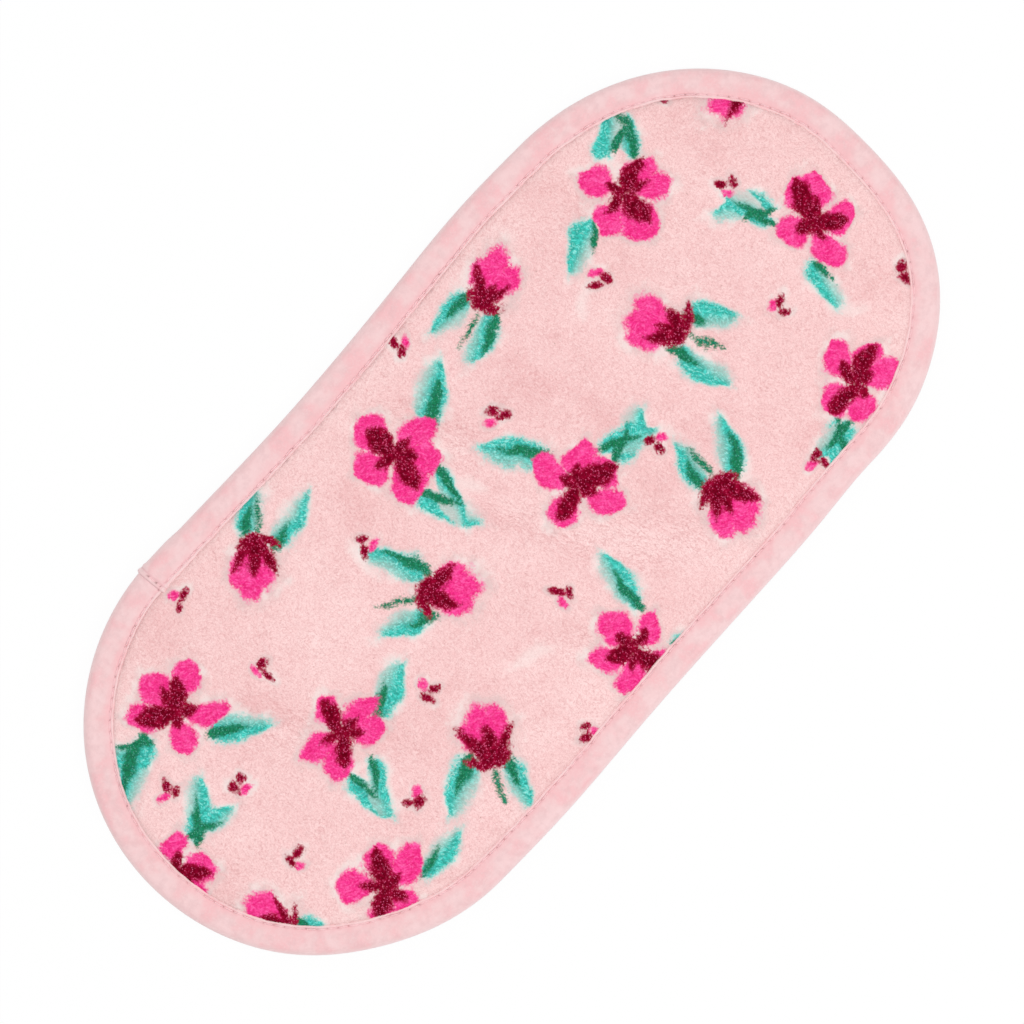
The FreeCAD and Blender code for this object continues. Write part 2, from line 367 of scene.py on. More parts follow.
# The parts of a motif. Headings count from the motif's own, and lengths, widths and places are
# shares of the blossom's width or the bud's length. Leaves: (heading, length, bend).
BLOSSOM_LEAVES = ((145, 0.66, 0.3), (200, 0.46, -0.3), (258, 0.62, 0.25))
BUD_LEAVES = ((118, 0.62, 0.35), (-132, 0.55, -0.35))
# A blossom's petals, and the burgundy marks on them: (length, width).
PETALS = 5
LONG_MARK, SHORT_MARK = (0.52, 0.27), (0.35, 0.16)
# A bud's petals: (across, top, radius), and its sepals: (heading, length, width).
BUD_PETALS = ((-0.16, 0.28, 0.14), (0.17, 0.25, 0.14), (0.02, 0.34, 0.16))
SEPALS = ((0, 0.46, 0.20), (28, 0.62, 0.19), (-30, 0.5, 0.16), (60, 0.34, 0.12), (-60, 0.34, 0.12))
# A sprig's berries: (along, across, radius, dye), in millimetres.
BERRIES = ((2.2, 0.1, 1.35, "burgundy"), (0.1, 1.6, 1.25, "magenta"),
           (-0.1, -1.5, 1.25, "burgundy"))
DYES = ("magenta", "burgundy", "teal", "green")


def local(x, y, at, heading):
    """Coordinates of the pad's points as seen from a motif's own origin and heading."""
    turn = math.radians(heading)
    dx, dy = x - at[0] * MM, y - at[1] * MM
    return (dx * math.cos(turn) + dy * math.sin(turn),
            dy * math.cos(turn) - dx * math.sin(turn))


def petal(u, v, start, length, width, fullness=1.0, bend=0.0, bluntness=0.8):
    """How far inside a petal or leaf each point is: it starts on the u axis, and a fullness
    above 1 puts its widest part nearer to the tip."""
    share = (u - start) / length
    inside = np.clip(share, 0, 1)
    half = width / 2 * np.sin(math.pi * inside ** fullness) ** bluntness
    depth = half - np.abs(v - bend * u * u / length)
    past = np.maximum(np.maximum(-share, share - 1), 0) * length
    return np.where(past > 0, -np.hypot(past, np.maximum(-depth, 0)), depth)


def add(fields, dye, shape):
    fields[dye] = np.maximum(fields[dye], shape)


def add_leaf(fields, u, v, start, length, width, bend, vary):
    """A brushed leaf: a teal dab that thins out to one side, a green stroke along the other."""
    blade = petal(u, v, start, length, width, vary(0.75, 1.3), bend, 0.6)
    across = (v - bend * u * u / length) * math.copysign(1, bend)
    off, reach = vary(0.22, 0.36) * width, vary(0.4, 0.95) * length
    add(fields, "teal", blade)
    add(fields, "green", petal(u, v + math.copysign(off, bend), start - 0.04 * length, reach,
                               0.42 * width, 0.8, bend, 0.6))
    fade = 1 - vary(0.3, 0.75) * smooth_step(across / width, -0.05, 0.45)
    fields["fade"] = np.where(blade > -1.5 * MM, fade, fields["fade"])


def add_leaves(fields, x, y, at, size, turn, leaves, start, breadths, vary):
    """The leaves of one motif, each a little off its own heading and length."""
    for heading, length, bend in leaves:
        u, v = local(x, y, at, turn + heading + vary(-14, 14))
        length, width = length * vary(0.8, 1.1), vary(*breadths)
        add_leaf(fields, u, v, start * size, length * size, width * size, bend, vary)


def add_blossom(fields, x, y, blossom, vary):
    """An open blossom, brushed one petal at a time, no two alike, with leaves behind it."""
    at, width, turn = blossom[:2], blossom[2] * MM, blossom[3]
    add_leaves(fields, x, y, at, width, turn, BLOSSOM_LEAVES, 0.46, (0.30, 0.42), vary)
    for number in range(PETALS):
        heading = turn + 360 / PETALS * number + vary(-13, 13)
        length, broad = vary(0.42, 0.57) * width, vary(0.31, 0.45) * width
        u, v = local(x, y, at, heading)
        bend = vary(-0.3, 0.3)
        outer = petal(u, v, 0.05 * width, length, broad, vary(1.1, 1.6), bend)
        notch = np.hypot(u - length - 0.09 * width, v - vary(-0.08, 0.08) * width)
        add(fields, "magenta", np.minimum(outer, notch - vary(0.04, 0.08) * width))
        u, v = local(x, y, at, heading + vary(-13, 13))
        long, wide = LONG_MARK if number in (0, 2) else SHORT_MARK
        long, wide = long * vary(0.85, 1.1) * width, wide * vary(0.85, 1.15) * width
        add(fields, "burgundy", petal(u, v, -0.05 * width, long, wide, 1.15, bend))


def add_bud(fields, x, y, bud, vary):
    """A half-open bud on a short stem: rounded magenta petals in a pointed burgundy cup."""
    at, length, heading = bud[:2], bud[2] * MM, bud[3]
    u, v = local(x, y, at, heading)
    stem = petal(u, v, -0.66 * length, 0.5 * length, 0.07 * length, 1.0, vary(-0.1, 0.1))
    add(fields, "green", stem)
    add_leaves(fields, x, y, at, length, heading, BUD_LEAVES, 0.2, (0.28, 0.40), vary)
    for across, top, radius in BUD_PETALS:
        top, across = top + vary(-0.04, 0.04), across + vary(-0.03, 0.03)
        off = np.hypot(0.7 * (u - top * length), v - across * length)
        add(fields, "magenta", radius * length - off)
    add(fields, "magenta", petal(u, v, -0.18 * length, 0.56 * length, 0.46 * length, 1.25))
    base = (at[0] - 0.2 * bud[2] * math.cos(math.radians(heading)),
            at[1] - 0.2 * bud[2] * math.sin(math.radians(heading)))
    for turn, long, wide in SEPALS:
        u, v = local(x, y, base, heading + turn + vary(-7, 7))
        long, wide = long * vary(0.85, 1.2), wide * vary(0.85, 1.2)
        sepal = petal(u, v, 0, long * length, wide * length, 0.85, vary(-0.2, 0.2))
        add(fields, "burgundy", sepal)


def add_sprig(fields, x, y, sprig, vary):
    """Three berries, each a short dab of the brush with a crisp edge."""
    u, v = local(x, y, sprig[:2], sprig[2])
    for along, across, radius, dye in BERRIES:
        a, b = local(u, v, (along, across), vary(0, 180))
        inside = radius * MM - np.hypot(0.72 * a, 1.15 * b)
        add(fields, dye, np.where(inside < 0, 2.4 * inside, inside))


def print_fields(x, y):
    """How far inside each dye of the print each point lies, in millimetres, and as "fade" how
    much dye a leaf holds there."""
    wobble_x = x + MM * uneven(x, y, (0.65, 3.4, 11))
    wobble_y = y + MM * uneven(x, y, (0.65, 3.4, 12))
    fields = {dye: np.full_like(x, -1.0) for dye in (*DYES, "cream")}
    fields["fade"] = np.zeros_like(x)
    vary = np.random.default_rng(13).uniform
    for motifs, add_motif in ((BLOSSOMS, add_blossom), (BUDS, add_bud), (SPRIGS, add_sprig)):
        for motif in motifs:
            add_motif(fields, wobble_x, wobble_y, motif, vary)
    for cx, cy, heading, length, bend in PALE_STROKES:
        u, v = local(wobble_x, wobble_y, (cx, cy), heading)
        add(fields, "cream", petal(u, v, 0, length * MM, 3.2 * MM, 0.8, bend))
    for dye in (*DYES, "cream"):
        fields[dye] = np.clip(fields[dye] / MM, -6, 6)
    return fields


# ---- the plush panels ----

PILE_CELL = 0.55 * MM
TUFT_RISE = 0.10 * MM
TUFT_SCATTER = 0.17 * MM
TUFT_CAP = 1.6
# The plush's rise under the binding, and over what length it comes up from there.
PLUSH_PRESSED = 1.35 * MM
ROLL_OFF = 9.0 * MM
PLUSH_THINNEST = 0.3 * MM
OFF_FLOOR = 0.02 * MM
# Points as near to the binding's lip as this are drawn onto it, and just past it.
LIP_REACH = 0.3 * MM
PAST_LIP = 0.04 * MM
# Soft creases where the pad has been folded: (x, y, heading, length, reach, rise), in
# millimetres and degrees.
CREASES = (
    (5, -13, -73, 44, 3.0, -0.30), (17, -24, -67, 36, 4.5, 0.45), (-8, -36, -62, 28, 3.5, 0.30),
    (3, 24, -80, 34, 4.0, 0.25), (66, 28, -60, 26, 4.0, 0.25), (-72, 6, -70, 30, 4.5, 0.25),
)


def crease_at(x, y):
    """How much the creases lift the pile, which way they lean it, and how far they part it.
    The lean is painted as shade on one side of a crease and as light on the other.
    """
    rise, lean, parted = np.zeros((3, len(x)))
    for cx, cy, heading, length, reach, lift in CREASES:
        u, v = local(x, y, (cx, cy), heading)
        bow = 3 * MM * np.sin(u / (0.5 * length * MM))
        off = (v - bow) / (reach * MM)
        fall = np.exp(-off ** 2 - (u / (0.5 * length * MM)) ** 4)
        rise += lift * MM * fall
        lean += math.copysign(1.6, lift) * off * fall
        parted += np.exp(-(off / 1.7) ** 2 - (u / (0.55 * length * MM)) ** 4)
    return rise, lean, parted


def panel_rise(x, y, face, filling, bare):
    """The rise of a panel's outer surface: flat under the binding, then, where it is bare, up
    against the binding's lip and on to the full loft."""
    inset = inset_of(x, y)
    roll = np.clip((inset - BINDING_WIDTH) / ROLL_OFF, 0, 1)
    crown = TAPE_TOP + (PLUSH_TOP - TAPE_TOP) * np.sqrt(1 - (1 - roll) ** 2)
    free = smooth_step(inset, BINDING_WIDTH, BINDING_WIDTH + 5 * MM)
    rolling = filling(x, y, face) + MM * uneven(x, y, (0.12, 11, 20 + face), (0.07, 4.5, 30 + face))
    if face == 0:
        rolling += crease_at(x, y)[0]
    pressed = PLUSH_PRESSED - seam_press(inset)
    return pressed + bare * (crown + rolling * free - pressed)


def closed_below(outer, quads, loop, face):
    """An outer surface's points and faces, with walls round its border and a flat inner side."""
    count, ring = len(outer), len(loop)
    height = MIDDLE + (1 - 2 * face) * PLUSH_UNDER
    inner = outer[loop]
    inner[:, 2] = height
    after = np.roll(np.arange(ring), -1)
    walls = [(loop[k], count + k, count + n, loop[n]) for k, n in enumerate(after)]
    fan = [(count + k, count + ring, count + n) for k, n in enumerate(after)]
    faces = [tuple(q) for q in quads] + walls + fan
    if face:
        faces = [f[::-1] for f in faces]
    return np.concatenate([outer, inner, [[0, 0, height]]]), faces


def pile_attributes(x, y, face, tuft, past_lip):
    """What the pile's colour follows: its tufts, its lean, the creases and, above, the print."""
    attributes = print_fields(x, y) if face == 0 else {}
    # lean: the pile is painted in shade where it leans one way and in light where it leans the
    # other.
    lean = uneven(x, y, (0.8, 17, 52 + face), (0.6, 6, 54 + face))
    creases = crease_at(x, y) if face == 0 else np.zeros((3, len(x)))
    attributes.update(tuft=tuft, past_lip=np.clip(past_lip / MM, -2, 12), lean=lean + creases[1],
                      parted=creases[2])
    return attributes


def make_panel(name, face, filling):
    """One plush panel: a dense outer surface with its tufts, closed by a flat inner side."""
    x, y, quads, loop = plan_grid(PILE_CELL, PANEL_EDGE)
    random = np.random.default_rng(40 + face)
    past_lip = inset_of(x, y) - BINDING_WIDTH - lip_wave(x, y)
    free = TUFT_SCATTER * smooth_step(np.abs(past_lip), 0.5 * MM, 0.9 * MM)
    free[loop] = 0
    x, y = moved_out(x, y, np.where(np.abs(past_lip) < LIP_REACH, past_lip - PAST_LIP, 0))
    x = x + random.uniform(-1, 1, len(x)) * free
    y = y + random.uniform(-1, 1, len(x)) * free
    tuft = random.normal(0, 0.55, len(x)) + uneven(x, y, (0.9, 1.1, 50 + face))
    tuft = np.clip(tuft, -TUFT_CAP, TUFT_CAP)
    bare = np.where(past_lip > -LIP_REACH, 1.0, 0.0)
    rise = panel_rise(x, y, face, filling, bare) + tuft * TUFT_RISE * (0.15 + 0.85 * bare)
    height = MIDDLE + (1 - 2 * face) * np.maximum(rise, PLUSH_UNDER + PLUSH_THINNEST)
    outer = np.stack([x, y, np.maximum(height, OFF_FLOOR)], 1)
    points, faces = closed_below(outer, quads, loop, face)
    inside = np.full(len(points) - len(x), -6.0)
    attributes = pile_attributes(x, y, face, tuft, past_lip)
    attributes = {key: np.append(values, inside) for key, values in attributes.items()}
    return mesh_object(name, points, faces, True, attributes)


def make_wadding():
    """The felted wadding: a thin slab whose faces and cut edge are slightly uneven."""
    x, y, quads, loop = plan_grid(2.0 * MM, PANEL_EDGE)
    count = len(x)
    layers = []
    for side in (1, -1):
        ragged_x = x + MM * uneven(x, y, (0.15, 1.4, 62 + side))
        ragged_y = y + MM * uneven(x, y, (0.15, 1.4, 64 + side))
        rise = WADDING_TOP + MM * (uneven(x, y, (0.03, 5, 60 + side)) - 0.03)
        layers.append(np.stack([ragged_x, ragged_y, MIDDLE + side * rise], 1))
    faces = [tuple(q) for q in quads] + [tuple(q[::-1] + count) for q in quads]
    faces += [(a, a + count, b + count, b) for a, b in zip(loop, np.roll(loop, -1))]
    return mesh_object("wadding_felt", np.concatenate(layers), faces)


# ---- the binding ----

STATIONS_PER_STITCH = 5
LAP_STATIONS = int(LAP_LENGTH / STITCH_PITCH * STATIONS_PER_STITCH)
# The turned end's fold has closer stations: over what length, and how many.
FOLD_REACH, FOLD_STATIONS = 2.7 * MM, 16
FOLD_DROP = 0.25 * MM
HEM_HALFWAY = 4.5 * MM
# Where the tape's face has its points, in millimetres in from the rim: closest at the seam.
FACE_INSETS = (6.95, 6.75, 6.6, 6.5, 6.4, 6.3, 6.2, 6.05, 5.8, 5.4, 4.9, 4.3, 3.7, 3.1, 2.5)


def tape_section():
    """The tape's middle line, as insets and rises, from the raw edge of the lower hem round
    the rim to the raw edge of the upper hem."""
    leg = TAPE_TOP - TAPE_GAUGE / 2
    bend = (leg - HEM_MIDDLE) / 2
    fold = BINDING_WIDTH - TAPE_GAUGE / 2 - bend
    half = [(inset, HEM_MIDDLE) for inset in (BINDING_WIDTH - HEM_DEPTH, HEM_HALFWAY, fold)]
    for angle in np.radians((-45, 0, 45)):
        half.append((fold + bend * math.cos(angle), HEM_MIDDLE + bend + bend * math.sin(angle)))
    half += [(inset * MM, leg) for inset in FACE_INSETS]
    for angle in np.radians((80, 60, 40, 20, 0)):
        half.append((TAPE_TOP - leg * math.cos(angle), leg * math.sin(angle)))
    lower = [(inset, -rise) for inset, rise in half[:-1]]
    return np.array(lower + half[::-1])


def section_normals(section):
    """Unit directions across the tape, outwards."""
    along = np.gradient(section, axis=0)
    along /= np.linalg.norm(along, axis=1)[:, None]
    return np.stack([-along[:, 1], along[:, 0]], 1)


def lapped_rise(from_fold):
    """How far the tape lies up on its own start, and how far its turned end bulges besides, for
    distances on from the end's fold."""
    past_lap = smooth_step(from_fold, LAP_LENGTH + 0.6 * MM, LAP_LENGTH + 6 * MM)
    turned = 0.34 * MM * hump(from_fold, 0.5 * MM, 0.55 * MM)
    turned += 0.20 * MM * hump(from_fold, 1.9 * MM, 0.45 * MM)
    return 0.9 * TAPE_GAUGE * (1 - past_lap), turned


def tape_unevenness(distance, inset, upper):
    """How far the sewn tape stands off its nominal surface: dimpled by the stitches, puffed
    between them and gathered a little round the ends."""
    x, y, _, _ = on_stitch_line(distance)
    round_end = smooth_step(np.abs(x), TURN - 8 * MM, TURN + 8 * MM)
    swing = np.cos((distance - JOINT_DISTANCE) / STITCH_PITCH * 2 * math.pi)
    dimple = (0.11 + 0.12 * swing) * hump(inset, STITCH_INSET, 0.30 * MM)
    lip = 0.05 * (1 - swing) / 2 * hump(inset, 6.95 * MM, 0.3 * MM)
    bulge = -0.03 * swing * hump(inset, 5.7 * MM, 0.4 * MM)
    pucker = uneven(x, y, (1, 1.9, 70 + upper), (0.6, 3.7, 72 + upper))
    gather = (0.07 + 0.06 * round_end) * pucker * hump(inset, STITCH_INSET, 1.7 * MM)
    return MM * (lip - dimple + gather + bulge + uneven(x, y, (0.06, 9, 74 + upper)))


def tape_stations():
    """Distances along the tape: even all round, and closer where its turned end is folded."""
    even = np.arange(STITCHES * STATIONS_PER_STITCH + LAP_STATIONS + 1)
    even = even * STITCH_PITCH / STATIONS_PER_STITCH
    return np.unique(np.concatenate([even, np.linspace(0, FOLD_REACH, FOLD_STATIONS)]))


def needle_holes(from_fold, inset):
    """How open the needle's holes are, up to 1, for points on the tape: the share of painted shade
    in them.
    """
    number = np.rint(from_fold / STITCH_PITCH).astype(int)
    holes = hump(from_fold, number * STITCH_PITCH, 0.24 * MM) * hump(inset, STITCH_INSET, 0.16 * MM)
    holes *= np.random.default_rng(77).uniform(0.0, 1.0, number.max() + 1)[number] ** 3
    for end in np.ravel(LAP_STITCHES):
        holes += hump(from_fold, LAP_STITCH_BACK, 0.2 * MM) * hump(inset, end, 0.25 * MM)
    return np.clip(holes, 0, 1)


def make_binding():
    """The tape as one folded strip, whose turned end lies on its start. Its hidden inner side
    has fewer points than its face."""
    section = tape_section()
    normals = section_normals(section)
    from_fold = tape_stations()
    distance = JOINT_DISTANCE + from_fold
    laid_on, turned_end = lapped_rise(from_fold)
    turned_end[0] -= FOLD_DROP
    x, y, _, _ = on_stitch_line(distance)
    numbers = list(range(len(section)))
    around = [(n, 1) for n in numbers] + [(n, -1) for n in numbers[::2][::-1]]
    rows = []
    for number, side in around:
        (inset, rise), (out_inset, out_rise) = section[number], normals[number]
        off = side * TAPE_GAUGE / 2 + laid_on + turned_end * (side > 0)
        if side > 0 and abs(rise) > HEM_MIDDLE + 0.2 * MM:
            face_share = smooth_step(abs(rise), 0.5 * MM, 1.9 * MM)
            off = off + tape_unevenness(distance, inset, int(rise > 0)) * face_share
        here = inset + out_inset * off + seam_shift(x, y, inset)
        px, py = at_inset(distance, here)
        pressed = math.copysign(seam_press(inset), rise) if abs(rise) > MM else 0
        rows.append(np.stack([px, py, MIDDLE + rise - pressed + out_rise * off], 1))
    points = np.stack(rows, 1).reshape(-1, 3)
    faces = tube_faces(len(distance), len(around))
    width = np.concatenate([[0], np.cumsum(np.hypot(*np.diff(section, axis=0).T))])
    numbers = [number for number, _ in around]
    along, across = np.meshgrid(from_fold, width[numbers], indexing="ij")
    inset = np.tile(section[numbers, 0], (len(distance), 1))
    attributes = {"along": along.ravel() / MM, "across": across.ravel() / MM,
                  "inset": inset.ravel() / MM, "hole": needle_holes(along, inset).ravel()}
    return mesh_object("binding_tape", points, faces, True, attributes)


def tube_faces(rings, size):
    """The faces of a closed tube, whose points are given ring by ring."""
    ring = np.arange(size)
    after = np.roll(ring, -1)
    faces = []
    for here in range(0, (rings - 1) * size, size):
        there = here + size
        faces += [(here + a, there + a, there + b, here + b) for a, b in zip(ring, after)]
    return faces + [tuple(ring), tuple((ring + (rings - 1) * size)[::-1])]


# ---- the threads ----

THREAD_SIDES = 8
THREAD_TWIST = 2.2
THREAD_ARCH = 0.27 * MM
# Where a stitch's points are, as shares of the way from one needle hole to the next.
STITCH_SHARES = np.linspace(0.03, 0.97, 8)


def thread_tube(path, up):
    """A two-ply thread along a path: points and faces of one closed tube."""
    run = np.gradient(path, axis=0)
    run /= np.linalg.norm(run, axis=1)[:, None]
    side = np.cross(run, up)
    side /= np.linalg.norm(side, axis=1)[:, None]
    top = np.cross(side, run)
    around = np.linspace(0, 2 * math.pi, THREAD_SIDES, endpoint=False)
    twist = np.linspace(0, THREAD_TWIST * math.pi, len(path))
    radius = THREAD_RADIUS * (1 + 0.18 * np.cos(2 * (around - twist[:, None])))
    radius[[0, -1]] *= 0.45
    points = path[:, None] + (np.cos(around) * radius)[..., None] * side[:, None]
    points = points + (np.sin(around) * radius)[..., None] * top[:, None]
    faces = [(face[0], *face[:0:-1]) for face in tube_faces(len(path), THREAD_SIDES)]
    return points.reshape(-1, 3), faces


def joined(name, tubes):
    points, faces, base = [], [], 0
    for tube_points, faces_of_tube in tubes:
        points.append(tube_points)
        faces += [tuple(v + base for v in face) for face in faces_of_tube]
        base += len(tube_points)
    return mesh_object(name, np.concatenate(points), faces)


def stitch(place, inset, from_fold, sunk, sign):
    """One stitch between its two needle holes: an arch of thread over the given points."""
    lift = TAPE_TOP - seam_press(inset) + sum(lapped_rise(from_fold)) - sunk
    lift = lift + THREAD_ARCH * np.sin(math.pi * STITCH_SHARES) ** 0.35
    return thread_tube(np.stack([*place, MIDDLE + sign * lift], 1), (0, 0, sign))


def make_topstitch(name, face):
    """One lockstitch line, a short arch of thread from each needle hole to the next."""
    random = np.random.default_rng(90 + face)
    tubes = []
    for number in range(STITCHES):
        wander, lean = random.normal(0, 0.04, 2) * MM
        from_fold = (number + STITCH_SHARES) * STITCH_PITCH
        inset = STITCH_INSET + wander + lean * (STITCH_SHARES - 0.5) * 2
        x, y, _, _ = on_stitch_line(JOINT_DISTANCE + from_fold)
        place = at_inset(JOINT_DISTANCE + from_fold, inset + seam_shift(x, y, inset))
        tubes.append(stitch(place, inset, from_fold, 0.28 * MM, 1 - 2 * face))
    return joined(name, tubes)


def make_joint_stitches():
    """Two stitches across the lapped end on either face."""
    tubes = []
    distance = np.full_like(STITCH_SHARES, JOINT_DISTANCE + LAP_STITCH_BACK)
    for sign in (1, -1):
        for start, stop in LAP_STITCHES:
            inset = start + (stop - start) * STITCH_SHARES
            tubes.append(stitch(at_inset(distance, inset), inset, LAP_STITCH_BACK, 0.2 * MM, sign))
    return joined("lap_stitches", tubes)


# ---- materials ----

class Finish:
    """A material's nodes, written as short calls. Sizes of noise are in millimetres."""

    def __init__(self, name):
        self.material = bpy.data.materials.new(name)
        self.material.use_nodes = True
        self.tree = self.material.node_tree
        self.tree.nodes.clear()
        self.output = self.tree.nodes.new("ShaderNodeOutputMaterial")
        self.place = self.node("ShaderNodeTexCoord").outputs["Object"]

    def node(self, kind, values=None, **settings):
        made = self.tree.nodes.new(kind)
        for key, value in settings.items():
            setattr(made, key, value)
        for key, value in (values or {}).items():
            self.put(made.inputs[key], value)
        return made

    def put(self, socket, value):
        if isinstance(value, bpy.types.NodeSocket):
            self.tree.links.new(value, socket)
        elif isinstance(value, tuple) and len(value) == 3 and socket.type == "RGBA":
            socket.default_value = (*value, 1)
        else:
            socket.default_value = value

    def worked(self, kind, operation, *values):
        return self.node(kind, dict(enumerate(values)), operation=operation).outputs[0]

    sum = functools.partialmethod(worked, "ShaderNodeMath", "ADD")
    times = functools.partialmethod(worked, "ShaderNodeMath", "MULTIPLY")
    larger = functools.partialmethod(worked, "ShaderNodeMath", "MAXIMUM")
    moved = functools.partialmethod(worked, "ShaderNodeVectorMath", "ADD")
    scaled = functools.partialmethod(worked, "ShaderNodeVectorMath", "MULTIPLY")

    def off(self, value, middle):
        """How far a value is from a middle, either way."""
        return self.worked("ShaderNodeMath", "ABSOLUTE", self.sum(value, -middle))

    def number(self, name):
        return self.node("ShaderNodeAttribute", attribute_name=name).outputs["Fac"]

    def noise(self, size, detail=2.0, roughness=0.5, place=None, output="Fac"):
        values = {"Vector": place or self.place, "Scale": 1 / (size * MM), "Detail": detail,
                  "Roughness": roughness}
        return self.node("ShaderNodeTexNoise", values).outputs[output]

    def cells(self, size):
        """Tufts: the distance from each one's middle, and a number of its own."""
        values = {"Vector": self.place, "Scale": 1 / (size * MM)}
        node = self.node("ShaderNodeTexVoronoi", values)
        return node.outputs["Distance"], node.outputs["Color"]

    def swirled(self, size, reach):
        """The object's coordinates, pushed about so that straight lines on them swirl."""
        push = self.moved(self.noise(size, 0.0, output="Color"), (-0.5,) * 3)
        return self.moved(self.scaled(push, (reach * MM,) * 3), self.place)

    def turned(self, degrees, stretch, place=None):
        """Coordinates turned about Z and drawn out along the turned X."""
        values = {"Vector": place or self.place, "Rotation": (0, 0, math.radians(degrees)),
                  "Scale": (stretch, 1, 1)}
        return self.node("ShaderNodeMapping", values, vector_type="TEXTURE").outputs[0]

    def band(self, value, low, high, at_low=0.0, at_high=1.0):
        """A share that eases from one figure to another as a value goes from low to high."""
        values = {"Value": value, "From Min": low, "From Max": high, "To Min": at_low,
                  "To Max": at_high}
        return self.node("ShaderNodeMapRange", values, interpolation_type="SMOOTHSTEP").outputs[0]

    def mix(self, share, a, b):
        values = {0: share, 6: a, 7: b}
        return self.node("ShaderNodeMix", values, data_type="RGBA").outputs[2]

    def share(self, *parts):
        """A share multiplied from bands, which are given as tuples, and from plain values."""
        parts = [self.band(*part) if isinstance(part, tuple) else part for part in parts]
        return functools.reduce(self.times, parts)

    def layered(self, colour, *layers):
        """Colours laid one over another. Each layer is a colour, then the parts of its share."""
        for over, *parts in layers:
            colour = self.mix(self.share(*parts), colour, over)
        return colour

    def bump(self, height, strength, distance, below=None):
        values = {"Height": height, "Strength": strength, "Distance": distance * MM}
        if below is not None:
            values["Normal"] = below
        return self.node("ShaderNodeBump", values).outputs["Normal"]

    def finish(self, colour, normal, roughness, specular, sheen, sheen_roughness):
        values = {"Base Color": colour, "Normal": normal, "Roughness": roughness,
                  "Specular IOR Level": specular, "Sheen Weight": sheen,
                  "Sheen Roughness": sheen_roughness}
        self.put(self.output.inputs["Surface"],
                 self.node("ShaderNodeBsdfPrincipled", values).outputs[0])
        return self.material


PLUSH_GROUND = (0.872, 0.573, 0.568)
# Painted shade, rosier, where the pile leans one way.
PLUSH_ROSE_SHADE = (0.80, 0.465, 0.465)
# Painted shade in the crevices between the pile's tufts and fibres.
PLUSH_CREVICE_SHADE = (0.68, 0.37, 0.37)
# Painted highlight on one side of the pile's partings.
PLUSH_PARTING_HIGHLIGHT = (1.0, 0.90, 0.88)
CURL_SHADE = (0.72, 0.52, 0.53)
# Painted highlight on the tips of the pile's tufts and fibres.
PLUSH_TIP_HIGHLIGHT = (0.95, 0.72, 0.705)
PLUSH_SHADED = (0.72, 0.56, 0.54)
PLUSH_SPECK = (0.32, 0.16, 0.12)
PRINT_MAGENTA = (0.86, 0.038, 0.26)
PRINT_BURGUNDY = (0.13, 0.000, 0.008)
PRINT_TEAL = (0.07, 0.61, 0.53)
PRINT_GREEN = (0.012, 0.19, 0.08)
PRINT_HALO = (0.67, 0.51, 0.50)
PRINT_CREAM = (0.87, 0.78, 0.75)
PRINT_PINK = (1.0, 0.16, 0.46)
PRINT_CERISE = (0.78, 0.02, 0.18)
PRINT_RED = (0.42, 0.004, 0.045)
# Painted highlight on the tips of the tufts in the red dyes.
PRINT_TIP_HIGHLIGHT = (1.0, 0.15, 0.35)
# Painted shade in the crevices between tufts of the print.
PRINT_CREVICE_SHADE = (0.78, 0.35, 0.55)
PRINT_DEEP_TEAL = (0.04, 0.46, 0.38)
PRINT_PALE_TEAL = (0.31, 0.80, 0.74)
TAPE_COLOUR = (0.81, 0.545, 0.55)
# Deeper pink clouds in the dye, and painted shade where the tape dips into the seam.
TAPE_ROSE_AND_SEAM_SHADE = (0.82, 0.455, 0.475)
TAPE_PALE = (0.84, 0.63, 0.635)
TAPE_SHADED = (0.69, 0.45, 0.46)
# Painted highlight round the rim's fold.
TAPE_RIM_HIGHLIGHT = (0.87, 0.65, 0.655)
# Painted highlight along the binding's lip.
TAPE_LIP_HIGHLIGHT = (0.86, 0.62, 0.615)
# Painted shade in the seam's groove and along the turned end's fold.
TAPE_SEAM_SHADE = (0.66, 0.34, 0.37)
# Painted shade in the needle's holes.
TAPE_HOLE_SHADE = (0.22, 0.06, 0.06)
THREAD_COLOUR = (0.80, 0.47, 0.49)
THREAD_PALE = (0.90, 0.60, 0.62)
FELT_COLOUR = (0.80, 0.76, 0.72)
FELT_PALE = (0.92, 0.90, 0.87)
FELT_SHADED = (0.70, 0.66, 0.63)

# Tufts, and their tips with painted highlights, are this far apart, in millimetres. The pile's
# nap, and the lines along its creases, run mostly this way, in degrees.
TUFT = 0.46
TUFT_TIP = 0.34
PILE_FLOW = -85
CREASE_FLOW = -69


def parted_pile(pile, colour, place, size, width, share):
    """Fine lines of painted shade with a painted highlight on one side, where the pile parts or
    curls.
    """
    fold = pile.noise(size, 1.0, 0.5, place)
    colour = pile.layered(colour, (
        pile.scaled(colour, CURL_SHADE), (pile.off(fold, 0.5), 0.0, width, 1.0, 0.0), share))
    return pile.layered(colour, (
        PLUSH_PARTING_HIGHLIGHT, (fold, 0.51 + width, 0.53 + width), (fold, 0.74, 0.64), share, 0.22))


def curled_pile(pile, colour, size, width, share):
    """The partings between small curls of the pile, which run with its nap."""
    curls = pile.turned(PILE_FLOW, 1.5, pile.swirled(5.0, 4.0))
    return parted_pile(pile, colour, curls, size, width, share)


